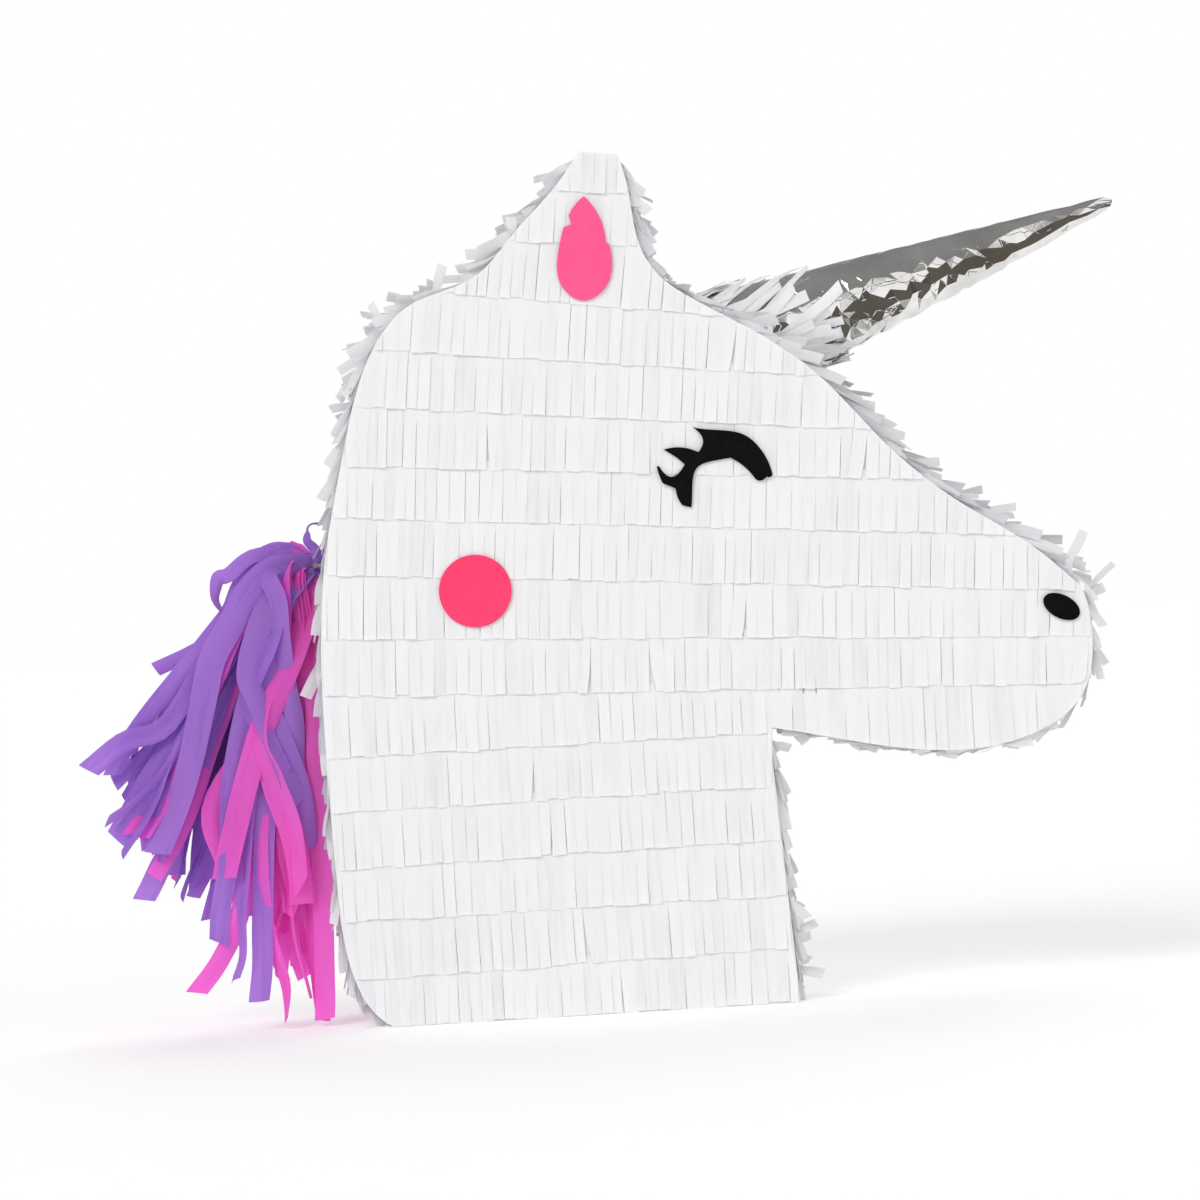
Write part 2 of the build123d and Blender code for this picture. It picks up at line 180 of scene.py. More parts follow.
class Shader:
    """Short ways to lay out a material's nodes."""

    def __init__(self, name):
        self.material = bpy.data.materials.new(name)
        self.material.use_nodes = True
        self.tree = self.material.node_tree
        self.nodes = self.tree.nodes
        self.base = self.nodes["Principled BSDF"]
        self.out = self.nodes["Material Output"]

    def link(self, source, target):
        self.tree.links.new(source, target)

    def node(self, kind, **values):
        made = self.nodes.new("ShaderNode" + kind)
        for key, value in values.items():
            if key in made.inputs:
                made.inputs[key].default_value = value
            else:
                setattr(made, key, value)
        return made

    def coords(self, scale, source="UV"):
        """UV or object coordinates, stretched by scale."""
        origin = self.node("TexCoord")
        mapping = self.node("Mapping")
        mapping.inputs["Scale"].default_value = scale
        self.link(origin.outputs[source], mapping.inputs["Vector"])
        return mapping.outputs["Vector"]

    def noise(self, vector, scale, detail=3.0, roughness=0.55):
        made = self.node("TexNoise", Scale=scale, Detail=detail, Roughness=roughness)
        self.link(vector, made.inputs["Vector"])
        return made.outputs["Fac"]

    def ramp(self, value, stops):
        made = self.node("ValToRGB")
        elements = made.color_ramp.elements
        elements[0].position, elements[0].color = stops[0]
        elements[1].position, elements[1].color = stops[-1]
        for place, colour in stops[1:-1]:
            elements.new(place).color = colour
        self.link(value, made.inputs[0])
        return made.outputs["Color"]

    def math(self, operation, first, second):
        made = self.node("Math", operation=operation)
        for number, value in enumerate((first, second)):
            if isinstance(value, (int, float)):
                made.inputs[number].default_value = value
            else:
                self.link(value, made.inputs[number])
        return made.outputs[0]

    def bump(self, height, strength, distance, normal=None):
        made = self.node("Bump", Strength=strength, Distance=distance)
        self.link(height, made.inputs["Height"])
        if normal:
            self.link(normal, made.inputs["Normal"])
        return made.outputs["Normal"]

    def finish(self, roughness, normal=None, specular=0.5):
        self.base.inputs["Roughness"].default_value = roughness
        self.base.inputs["Specular IOR Level"].default_value = specular
        if normal:
            self.link(normal, self.base.inputs["Normal"])
        return self.material


def tone(colour, factor):
    return tuple(min(1.0, c * factor) for c in colour) + (1.0,)


def tissue_material(name, colour, shade, glow, rib=0.35, mottled=0.5, light=None, crinkle=0.2):
    """Thin crepe tissue: fine ribs along each leaf with painted shade in their grooves, cloudy tone, light
    coming through.
    """
    s = Shader(name)
    ribs = s.noise(s.coords((42, 1.2, 1)), 1.0, 3.0, 0.65)
    cloud = s.noise(s.coords((3.0, 1.1, 1)), 1.3, 4.0, 0.6)
    attribute = s.node("Attribute", attribute_name="tone")
    each = s.math("MULTIPLY", attribute.outputs["Fac"], 1 - mottled)
    mixed = s.math("ADD", s.math("MULTIPLY", cloud, mottled), each)
    # The rib noise also darkens the colour where the rib relief is low: painted shade along the crepe's
    # fine grooves. The cloud and each leaf's tone vary the tint at random.
    mixed = s.math("ADD", s.math("MULTIPLY", ribs, 0.42), s.math("MULTIPLY", mixed, 0.58))
    paint = s.ramp(mixed, [(0.22, shade), (0.5, colour), (0.85, light or tone(colour[:3], 1.06))])
    s.link(paint, s.base.inputs["Base Color"])
    normal = s.bump(ribs, rib, 0.25 * MM)
    normal = s.bump(cloud, crinkle, 0.8 * MM, normal)
    s.finish(0.78, normal, 0.25)
    s.base.inputs["Sheen Weight"].default_value = 0.15
    through = s.node("BsdfTranslucent")
    s.link(paint, through.inputs["Color"])
    s.link(normal, through.inputs["Normal"])
    mix = s.node("MixShader")
    mix.inputs[0].default_value = glow
    s.link(s.base.outputs[0], mix.inputs[1])
    s.link(through.outputs[0], mix.inputs[2])
    s.link(mix.outputs[0], s.out.inputs["Surface"])
    return s.material


def paper_material(name, colour, shade, fibre=0.3):
    """Coloured craft paper: short fibres and faint cloudy dye."""
    s = Shader(name)
    fibres = s.noise(s.coords((900, 900, 500), "Object"), 1.0, 5.0, 0.7)
    cloud = s.noise(s.coords((90, 90, 90), "Object"), 1.0, 3.0, 0.6)
    mixed = s.math("ADD", s.math("MULTIPLY", fibres, 0.5), s.math("MULTIPLY", cloud, 0.5))
    s.link(s.ramp(mixed, [(0.3, shade), (0.62, colour)]), s.base.inputs["Base Color"])
    return s.finish(0.8, s.bump(fibres, fibre, 0.2 * MM), 0.3)


def sticker_material():
    """Black vinyl: nearly flat, with a soft sheen and tiny dimples."""
    s = Shader("black_vinyl")
    dimples = s.noise(s.coords((260, 260, 260), "Object"), 1.0, 3.0)
    paint = s.ramp(dimples, [(0.3, (0.002, 0.002, 0.002, 1)), (0.8, (0.005, 0.005, 0.005, 1))])
    s.link(paint, s.base.inputs["Base Color"])
    return s.finish(0.45, s.bump(dimples, 0.15, 0.2 * MM), 0.12)


def foil_material():
    """Silver foil: mirror bright, with fine wrinkles between its creases."""
    s = Shader("silver_foil")
    wrinkle = s.noise(s.coords((260, 260, 260), "Object"), 1.0, 4.0, 0.6)
    smudge = s.noise(s.coords((45, 45, 45), "Object"), 1.0, 3.0)
    cells = s.node("TexVoronoi", feature="DISTANCE_TO_EDGE", Scale=1.0)
    s.link(s.coords((110, 150, 150), "Object"), cells.inputs["Vector"])
    crease = s.ramp(cells.outputs["Distance"], [(0.0, (0, 0, 0, 1)), (0.045, (1, 1, 1, 1))])
    paint = s.ramp(smudge, [(0.3, (0.66, 0.65, 0.64, 1)), (0.7, (0.84, 0.84, 0.83, 1))])
    s.link(paint, s.base.inputs["Base Color"])
    s.base.inputs["Metallic"].default_value = 1.0
    return s.finish(0.08, s.bump(crease, 0.25, 0.15 * MM, s.bump(wrinkle, 0.10, 0.3 * MM)))


def card_material():
    """Brown card with a white outer liner: faint flutes, and flecks."""
    s = Shader("brown_card")
    flute = s.node("TexWave", Scale=1.0, Distortion=1.5, Detail=2.0)
    s.link(s.coords((70, 70, 0), "Object"), flute.inputs["Vector"])
    fleck = s.noise(s.coords((600, 600, 300), "Object"), 1.0, 4.0, 0.7)
    mixed = s.math("ADD", s.math("MULTIPLY", flute.outputs["Fac"], 0.25), s.math("MULTIPLY", fleck, 0.75))
    paint = s.ramp(mixed, [(0.3, (0.27, 0.17, 0.09, 1)), (0.7, (0.47, 0.32, 0.19, 1))])
    place = s.node("SeparateXYZ")
    s.link(s.coords((1, 1, 1), "Object"), place.inputs[0])
    away = s.math("ABSOLUTE", place.outputs["Y"], 0.0)
    liner = s.math("GREATER_THAN", away, HALF_DEPTH - LINER_DEPTH)
    mix = s.node("Mix", data_type="RGBA")
    s.link(liner, mix.inputs["Factor"])
    s.link(paint, mix.inputs["A"])
    s.link(s.ramp(mixed, [(0.3, (0.80, 0.80, 0.81, 1)), (0.7, (0.87, 0.87, 0.88, 1))]), mix.inputs["B"])
    s.link(mix.outputs["Result"], s.base.inputs["Base Color"])
    return s.finish(0.85, s.bump(mixed, 0.3, 0.4 * MM), 0.2)


def metal_material(name, colour, roughness):
    s = Shader(name)
    scratch = s.noise(s.coords((500, 60, 500), "Object"), 1.0, 4.0, 0.6)
    paint = s.ramp(scratch, [(0.3, tone(colour, 0.8)), (0.7, tone(colour, 1.1))])
    s.link(paint, s.base.inputs["Base Color"])
    s.base.inputs["Metallic"].default_value = 1.0
    return s.finish(roughness, s.bump(scratch, 0.1, 0.1 * MM))


def yarn_material(name, colour):
    s = Shader(name)
    twist = s.node("TexWave", Scale=1.0, Distortion=2.0, Detail=2.0)
    s.link(s.coords((120, 420, 120), "Object"), twist.inputs["Vector"])
    paint = s.ramp(twist.outputs["Fac"], [(0.2, tone(colour, 0.5)), (0.8, tone(colour, 1.2))])
    s.link(paint, s.base.inputs["Base Color"])
    return s.finish(0.85, s.bump(twist.outputs["Fac"], 0.6, 0.4 * MM), 0.2)


WHITE = (0.93, 0.93, 0.945, 1)
WHITE_SHADE = (0.81, 0.805, 0.845, 1)
# The two edge colours below are the faces' white tissue painted darker: painted shade for the leaves along
# the outline, which get less light.
EDGE_WHITE_PAINTED_SHADE = (0.85, 0.85, 0.87, 1)
EDGE_DARK_TONE_PAINTED_SHADE = (0.64, 0.635, 0.68, 1)
PURPLE = (0.46, 0.23, 0.78, 1)
PURPLE_SHADE = (0.26, 0.10, 0.56, 1)
PINK = (1.0, 0.18, 0.76, 1)
PINK_SHADE = (0.95, 0.09, 0.56, 1)

looks = {
    "face": tissue_material("white_tissue", WHITE, WHITE_SHADE, 0.12, 0.35, 0.75),
    # edge tissue: the white tissue with painted shade darkening its colour
    "edge": tissue_material("edge_tissue", EDGE_WHITE_PAINTED_SHADE, EDGE_DARK_TONE_PAINTED_SHADE, 0.25),
    "purple": tissue_material(
        "purple_tissue", PURPLE, PURPLE_SHADE, 0.38, 0.35, 0.65, (0.47, 0.19, 0.66, 1), 0.6
    ),
    "pink": tissue_material("pink_tissue", PINK, PINK_SHADE, 0.42, 0.35, 0.65, (1.0, 0.20, 0.72, 1), 0.6),
    "ear": paper_material("ear_paper", (1.0, 0.105, 0.30, 1), (0.93, 0.085, 0.25, 1)),
    "cheek": paper_material("cheek_paper", (1.0, 0.055, 0.17, 1), (0.90, 0.045, 0.14, 1)),
    "vinyl": sticker_material(),
    "foil": foil_material(),
    "card": card_material(),
    "tape": paper_material("paper_tape", (0.88, 0.88, 0.89, 1), (0.80, 0.80, 0.81, 1)),
    "plain": paper_material("white_paper", (0.88, 0.88, 0.90, 1), (0.80, 0.80, 0.82, 1)),
    "eyelet": metal_material("eyelet_metal", (0.75, 0.75, 0.76), 0.25),
    "wire": metal_material("loop_wire", (0.5, 0.5, 0.52), 0.35),
    "yarn": yarn_material("tie_yarn", (0.20, 0.07, 0.42)),
}


# ---------------------------------------------------------------- mesh helpers


def add_piece(name, mesh, body, replaces):
    piece = bpy.data.objects.new(name, mesh)
    bpy.context.scene.collection.objects.link(piece)
    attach(piece, body)
    if replaces:
        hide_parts(*replaces)
    return piece


class Leaves:
    """Collects thin strips of tissue into one mesh, with ribs that follow each strip."""

    def __init__(self):
        self.points = []
        self.faces = []
        self.uvs = []
        self.tones = []

    def strip(self, columns, shade, start):
        """A grid of points, given as columns that run along the strip."""
        first = len(self.points)
        rows = len(columns[0])
        for column in columns:
            self.points.extend(column)
        marks = []
        across = start
        for number, column in enumerate(columns):
            if number:
                across += (column[0] - columns[number - 1][0]).length
            along = 0.0
            for row, point in enumerate(column):
                if row:
                    along += (point - column[row - 1]).length
                marks.append((across * 10, along * 10 + start))
        for number in range(len(columns) - 1):
            for row in range(rows - 1):
                a = number * rows + row
                corners = (a, a + rows, a + rows + 1, a + 1)
                self.faces.append(tuple(first + c for c in corners))
                self.uvs.extend(marks[c] for c in corners)
                self.tones.append(shade)

    def build(self, name, look, body, slot, replaces=()):
        mesh = bpy.data.meshes.new(name)
        mesh.from_pydata([tuple(p) for p in self.points], [], self.faces)
        layer = mesh.uv_layers.new(name="strip")
        layer.data.foreach_set("uv", [value for mark in self.uvs for value in mark])
        shade = mesh.attributes.new("tone", "FLOAT", "FACE")
        shade.data.foreach_set("value", self.tones)
        mesh.polygons.foreach_set("use_smooth", [True] * len(self.faces))
        mesh.materials.append(looks[look])
        return add_piece(name, mesh, body, replaces)


def face_loop(node, side=-1):
    """The outline of a flat CAD piece's outer face, anticlockwise in XZ as seen from the front."""
    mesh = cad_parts[node].data
    limit = min(v.co.y * -side for v in mesh.vertices) if side > 0 else min(v.co.y for v in mesh.vertices)
    limit = -limit if side > 0 else limit
    key = [(round(v.co.x, 7), round(v.co.z, 7)) for v in mesh.vertices]
    count = {}
    for face in mesh.polygons:
        if all(abs(mesh.vertices[v].co.y - limit) < 1e-6 for v in face.vertices):
            ring = [key[v] for v in face.vertices]
            for a, b in zip(ring, ring[1:] + ring[:1]):
                edge = (a, b) if a < b else (b, a)
                count[edge] = count.get(edge, 0) + 1
    around = {}
    for (a, b), times in count.items():
        if times == 1 and a != b:
            around.setdefault(a, []).append(b)
            around.setdefault(b, []).append(a)
    start = min(around)
    loop = [start]
    before, here = None, start
    while True:
        ahead = [p for p in around[here] if p != before]
        before, here = here, ahead[0]
        if here == start or len(loop) > len(around):
            break
        loop.append(here)
    area = sum(a[0] * b[1] - b[0] * a[1] for a, b in zip(loop, loop[1:] + loop[:1]))
    if area < 0:
        loop.reverse()
    return [Vector(p) for p in loop]


outline = face_loop("front_panel")
ring = np.array([tuple(p) for p in outline])
ring_next = np.roll(ring, -1, axis=0)


def span_inside(point, way, length, grow=0.0):
    """Where the line from a point stays inside the head's outline, as two distances, or None."""
    d = ring_next - ring
    w = ring - np.array(point)
    cross = way[0] * d[:, 1] - way[1] * d[:, 0]
    cross = np.where(np.abs(cross) < 1e-12, 1e-12, cross)
    t = (w[:, 0] * d[:, 1] - w[:, 1] * d[:, 0]) / cross
    u = (w[:, 0] * way[1] - w[:, 1] * way[0]) / cross
    hits = sorted(t[(u >= 0) & (u < 1)])
    best = None
    for low, high in zip(hits[0::2], hits[1::2]):
        low, high = max(low - grow, 0.0), min(high + grow, length)
        if high - low > (best[1] - best[0] if best else 0.4 * MM):
            best = (low, high)
    return best


class Path:
    """The head's outline by distance, from the rear end of the base anticlockwise."""

    def __init__(self, loop):
        start = min(range(len(loop)), key=lambda i: (loop[i] - Vector((-0.106, BASE_Z))).length)
        self.loop = loop[start:] + loop[:start]
        self.marks = [0.0]
        for a, b in zip(self.loop, self.loop[1:] + self.loop[:1]):
            self.marks.append(self.marks[-1] + (b - a).length)
        self.length = self.marks[-1]

    def at(self, distance):
        distance %= self.length
        place = int(np.searchsorted(self.marks, distance, side="right")) - 1
        place = min(place, len(self.loop) - 1)
        a = self.loop[place]
        b = self.loop[(place + 1) % len(self.loop)]
        share = (distance - self.marks[place]) / max(1e-9, (b - a).length)
        return a.lerp(b, share)

    def out(self, distance, reach=3 * MM):
        along = (self.at(distance + reach) - self.at(distance - reach)).normalized()
        return Vector((along.y, -along.x))

    def near(self, point):
        """The whole millimetre of the outline that is nearest to a point, to a micron."""
        steps = range(int(self.length / MM))
        return min(steps, key=lambda i: (self.at(i * MM) - point).length * MICRONS // 1) * MM


path = Path(outline)


# ---------------------------------------------------------------- fringe on the two faces


def row_edges():
    """Each row's lower edge as (height at x = 0, rise), from the base row up, and one above the top row."""
    lines = [(BASE_Z, 0.0)]
    for number in range(2, 17):
        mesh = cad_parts[f"front_fringe_{number:02d}"].data
        front = min(v.co.y for v in mesh.vertices)
        points = [(v.co.x, v.co.z) for v in mesh.vertices if v.co.y < front + 0.05 * MM]
        left = min(p[0] for p in points)
        right = max(p[0] for p in points)
        a = min((p for p in points if p[0] < left + 7 * MM), key=lambda p: p[1])
        b = min((p for p in points if p[0] > right - 7 * MM), key=lambda p: p[1])
        rise = (b[1] - a[1]) / (b[0] - a[0])
        lines.append((a[1] - rise * a[0], rise))
    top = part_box("front_fringe_16")[1].z
    lines.append((top + 25 * MM, lines[-1][1]))
    return lines


seams = row_edges()
THROAT_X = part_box("front_fringe_05")[1].x
decorated = [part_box(n) for n in ("ear_lining_front", "cheek_front", "eye_front", "nostril_front")]


def under_decoration(x, z):
    margin = 3 * MM
    for low, high in decorated:
        if low.x - margin < x < high.x + margin and low.z - margin < z < high.z + margin:
            return True
    return False


def face_leaf(bunch, rng, foot, up, width, length, side, flatness, keep=None, swing=0.0):
    """One leaf of a face row: foot is the middle of its tip, and up runs to its glued head."""
    right = Vector((up.y, -up.x))
    lift = rng.choice((0.05, 0.1, 0.2, 0.3, 0.55)) * MM
    lift *= flatness
    roll = rng.uniform(-0.3, 0.3) * MM * flatness
    curl = rng.choice((0, 0, 0.5, 1.0)) * MM * flatness * rng.random()
    columns = []
    parts, steps = 3, 8
    slit = rng.uniform(0.55, 1.0)
    for c in range(parts + 1):
        across = (c / parts - 0.5) * width
        base = foot + right * across
        base = base + up * rng.uniform(-0.25, 0.25) * MM
        span = span_inside(base, up, length, 0.4 * MM)
        if keep and span:
            span = keep(base, up, span)
        if span is None:
            continue
        column = []
        for step in range(steps + 1):
            distance = span[0] + (span[1] - span[0]) * step / steps
            share = distance / length
            loose = max(0.0, 1 - share * 1.2)
            shut = min(1.0, max(0.0, (share - slit) * 8))
            reach = (c / parts - 0.5) * 0.5 * MM * shut
            point = base + up * distance + right * (swing * loose * loose * length + reach)
            depth = 0.2 * MM + 0.5 * MM * min(1.0, loose * 1.6) + lift * loose ** 1.5
            depth += curl * loose ** 5 + roll * (c / parts - 0.5) * 2 * loose
            depth += 0.2 * MM * math.sin(across / width * 3 + share * 4 + foot.x * 900) * loose
            column.append(Vector((point.x, side * (SKIN + max(depth, 0.1 * MM)), point.y)))
        columns.append(column)
    if len(columns) > 1:
        bunch.strip(columns, rng.random(), rng.random() * 9)


def face_row(bunch, rng, number, side, keep=None, quiet=False):
    """All the leaves of one row, from the nape to the muzzle."""
    low, rise = seams[number]
    high, high_rise = seams[number + 1]
    up = Vector((-rise, 1)).normalized()
    x = ring[:, 0].min() - 2 * MM
    right_end = ring[:, 0].max() + 2 * MM
    while x < right_end:
        width = LEAF_WIDTH * rng.choice((0.75, 0.85, 0.9, 0.95, 1.0, 1.0, 1.1, 1.25))
        gap = rng.choice((0.03, 0.05, 0.06, 0.08, 0.1, 0.28)) * MM
        centre = x + width / 2
        tip = low + rise * centre
        head = high + high_rise * centre + LEAF_LAP * 0.7
        if number == 5 and centre > THROAT_X:
            tip = 0.124
        if number < 5 and centre > THROAT_X + 6 * MM:
            break
        wave = 0.5 * noise.noise(Vector((centre * 30, number * 3.1, side)))
        tip += (wave + rng.choice((-0.5, -0.2, 0, 0, 0, 0.1, 0.3, 0.6))) * MM
        flatness = 0.35 if under_decoration(centre, (tip + head) / 2) else 1.0
        swing = rng.gauss(0, 0.004)
        if not quiet and rng.random() < 0.015:
            swing = rng.choice((-1, 1)) * rng.uniform(0.04, 0.11)
            flatness *= 1.3
        foot = Vector((centre, tip))
        face_leaf(bunch, rng, foot, up, width, (head - tip) / up.y, side, flatness, keep, swing)
        x += width + gap


def loop_sheet(loop, spacing):
    """Points and triangles that fill a flat outline, finely enough to ripple."""
    low = Vector((min(p.x for p in loop), min(p.y for p in loop)))
    high = Vector((max(p.x for p in loop), max(p.y for p in loop)))
    fine = []
    for a, b in zip(loop, loop[1:] + loop[:1]):
        pieces = max(1, int((b - a).length / spacing))
        fine.extend(a.lerp(b, i / pieces) for i in range(pieces))
    points = list(fine)
    rows = int((high.y - low.y) / spacing)
    for j in range(rows + 1):
        for i in range(int((high.x - low.x) / spacing) + 1):
            p = Vector((low.x + (i + 0.5 * (j % 2)) * spacing, low.y + j * spacing))
            near = min((p - q).length for q in fine)
            if near > spacing * 0.5 and inside(p, fine):
                points.append(p)
    count = len(fine)
    edges = [(i, (i + 1) % count) for i in range(count)]
    result = geometry.delaunay_2d_cdt(points, edges, [list(range(count))], 1, 1e-6)
    return result[0], result[2]


def inside(p, loop):
    """Whether a point of the plane lies inside a closed outline."""
    hit = False
    for a, b in zip(loop, loop[1:] + loop[:1]):
        if (a.y > p.y) != (b.y > p.y) and p.x < (b.x - a.x) * (p.y - a.y) / (b.y - a.y) + a.x:
            hit = not hit
    return hit


def decoration(node, look, spacing, side, rise, thick, ripple):
    """A paper or vinyl shape that lies over the fringe, following it softly."""
    flat, triangles = loop_sheet(face_loop(node, side), spacing)
    points = []
    for layer in (0, 1):
        for p in flat:
            depth = SKIN + rise + layer * thick
            depth += ripple * noise.noise(Vector((p.x * 60, p.y * 9, 2.0 + side)))
            depth += ripple * 0.5 * noise.noise(Vector((p.x * 160, p.y * 25, 7.0)))
            points.append((p.x, side * depth, p.y))
    count = len(flat)
    faces = [tuple(count + v for v in t) for t in triangles]
    faces += [tuple(reversed(t)) for t in triangles]
    used = {}
    for t in triangles:
        for a, b in zip(t, list(t[1:]) + [t[0]]):
            used[(a, b)] = True
    for a, b in used:
        if (b, a) not in used:
            faces.append((a, b, count + b, count + a))
    if side > 0:
        faces = [tuple(reversed(f)) for f in faces]
    mesh = bpy.data.meshes.new(node)
    mesh.from_pydata(points, [], faces)
    mesh.materials.append(looks[look])
    mesh.polygons.foreach_set("use_smooth", [True] * len(faces))
    piece = add_piece(node + "_paper", mesh, "head", (node,))
    mark = piece.modifiers.new("edge", "EDGE_SPLIT")
    mark.split_angle = math.radians(50)


door_low, door_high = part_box("fill_door")
door_band = (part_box("fill_door_fringe")[0].z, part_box("fill_door_fringe")[1].z + 2 * MM)


def outside_door(base, up, span):
    """Shorten a leaf of the back so that it stays off the filling door."""
    gap = 1.6 * MM + LEAF_WIDTH / 2
    if not door_low.x - gap < base.x < door_high.x + gap:
        return span
    low, high = span
    bottom = (door_low.z - gap - base.y) / up.y
    top = (door_high.z + 1.8 * MM - base.y) / up.y
    below = (low, min(high, bottom))
    above = (max(low, top), high)
    best = max((below, above), key=lambda s: s[1] - s[0])
    return best if best[1] - best[0] > 1 * MM else None


def inside_door(base, up, span):
    """Keep only the part of a leaf that lies on the filling door."""
    if not door_low.x + 0.2 * MM < base.x < door_high.x - 0.2 * MM:
        return None
    low = max(span[0], (door_band[0] - base.y) / up.y)
    high = min(span[1], (door_band[1] - base.y) / up.y)
    return (low, high) if high - low > 1 * MM else None


def make_faces():
    for number in range(16):
        rng = random.Random(100 + number)
        bunch = Leaves()
        face_row(bunch, rng, number, -1)
        node = f"front_fringe_{number + 1:02d}"
        bunch.build("front_row_" + node[-2:], "face", "head", "face_tissue", (node,))
    groups = {"neck": range(0, 4), "throat": range(4, 7), "face": range(7, 11), "crown": range(11, 16)}
    for name, rows in groups.items():
        bunch = Leaves()
        for number in rows:
            face_row(bunch, random.Random(300 + number), number, 1, outside_door, True)
        bunch.build("back_rows_" + name, "face", "head", "face_tissue", ("back_fringe_" + name,))
    bunch = Leaves()
    for number in range(3, 7):
        face_row(bunch, random.Random(400 + number), number, 1, inside_door, True)
    bunch.build("door_rows", "face", "fill_door", "face_tissue", ("fill_door_fringe",))


def make_decorations():
    for side, end in ((-1, "front"), (1, "back")):
        decoration("ear_lining_" + end, "ear", 1.6 * MM, side, 1.9 * MM, 0.25 * MM, 0.35 * MM)
        decoration("cheek_" + end, "cheek", 1.8 * MM, side, 1.9 * MM, 0.25 * MM, 0.3 * MM)
        decoration("eye_" + end, "vinyl", 1.2 * MM, side, 1.9 * MM, 0.3 * MM, 0.15 * MM)
        decoration("nostril_" + end, "vinyl", 1.2 * MM, side, 1.8 * MM, 0.3 * MM, 0.12 * MM)


# ---------------------------------------------------------------- fringe on the edge


def bent_strip(bunch, rng, base, way, out, width, length, rise, turn, droop, yaw):
    """A leaf of the edge: it leaves the wall along way, lifts along out and turns about its own length."""
    across0 = Vector((0, 1, 0))
    point = base.copy()
    left, middle, right = [], [], []
    steps = 8
    step = length / steps
    for number in range(steps + 1):
        share = number / steps
        angle = rise * min(1.0, share * 2.2) - droop * share * share
        tangent = way * math.cos(angle) + out * math.sin(angle)
        tangent = (tangent + Vector((0, yaw * share, 0))).normalized()
        side = (across0 - tangent * across0.dot(tangent)).normalized()
        normal = tangent.cross(side)
        spin = turn * min(1.0, share * 1.6)
        across = side * math.cos(spin) + normal * math.sin(spin)
        hollow = normal * math.cos(spin) - side * math.sin(spin)
        left.append(point - across * width / 2)
        middle.append(point + hollow * 0.05 * width)
        right.append(point + across * width / 2)
        point = point + tangent * step
    tilt = rng.uniform(-0.12, 0.12) * width
    left[-1] = left[-1] + (left[-1] - left[-2]).normalized() * tilt
    right[-1] = right[-1] - (right[-1] - right[-2]).normalized() * tilt
    for point in (*left, *middle, *right):
        point.z = max(point.z, FLOOR_GAP)
    bunch.strip([left, middle, right], rng.random(), rng.random() * 9)


def edge_marks():
    """Corners of the outline by distance: throat foot, throat top, muzzle, ear and crest."""
    throat = path.near(Vector((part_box("throat_wall")[1].x, BASE_Z)))
    jaw = path.near(Vector((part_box("jaw_wall")[0].x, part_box("throat_wall")[1].z)))
    muzzle = path.near(Vector((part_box("brow_wall")[1].x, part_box("brow_wall")[0].z)))
    ear = path.near(Vector((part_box("ear_top_wall")[1].x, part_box("ear_front_wall")[1].z)))
    ear_back = path.near(Vector((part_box("ear_top_wall")[0].x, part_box("ear_top_wall")[1].z)))
    crest = path.near(Vector((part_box("crest_wall")[0].x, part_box("crest_wall")[0].z)))
    return throat, jaw, muzzle, ear, ear_back, crest


def edge_run(bunch, rng, start, stop, reverse, rise, spread, twist, clear, length):
    """Rows of leaves laid across the walls, tips pointing down the run (or up it when reversed)."""
    span = stop - start
    rows = max(2, round(span / EDGE_PITCH))
    for row in range(rows + 1):
        glue = start + span * row / rows
        y = -SKIN + rng.uniform(0.3, 2.5) * MM
        while y < SKIN - 3 * MM:
            width = LEAF_WIDTH * rng.choice((0.8, 0.9, 1.0, 1.05))
            place = path.at(glue)
            out2 = path.out(glue)
            along = Vector((-out2.y, out2.x)) * (-1 if reverse else 1)
            base = Vector((place.x, y + width / 2, place.y)) + Vector((out2.x, 0, out2.y)) * 0.6 * MM
            way = Vector((along.x, 0, along.y))
            out = Vector((out2.x, 0, out2.y))
            if clear is None or clear(base):
                angle = max(0.03, rng.gauss(rise, spread))
                near_front = abs(y) > SKIN - 12 * MM
                turn = rng.gauss(0, twist * (1.3 if near_front else 0.6))
                size = length * rng.uniform(0.75, 1.08)
                droop = rng.uniform(0, 0.35)
                yaw = rng.gauss(0, 0.08)
                bent_strip(bunch, rng, base, way, out, width, size, angle, turn, droop, yaw)
            y += width + rng.uniform(0.05, 0.8) * MM


horn_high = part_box("horn_foil")[1]
horn_way = Vector((math.cos(HORN_SLOPE), 0, math.sin(HORN_SLOPE)))
horn_tip = Vector((horn_high.x, 0, horn_high.z)) - Vector((1.0, 0, 2.4)) * MM


def horn_radius(distance):
    """The foil's radius at a distance back from the horn's tip."""
    return (FOIL_TIP + distance / HORN_REACH * HORN_FLARE) * MM


def core_radius(distance):
    return (CORE_TIP + distance / HORN_REACH * HORN_FLARE) * MM


def off_horn(base):
    """Leave out the edge leaves that would start inside the horn."""
    rel = base - horn_tip
    back = -rel.dot(horn_way)
    away = (rel + horn_way * back).length
    return away > core_radius(back)


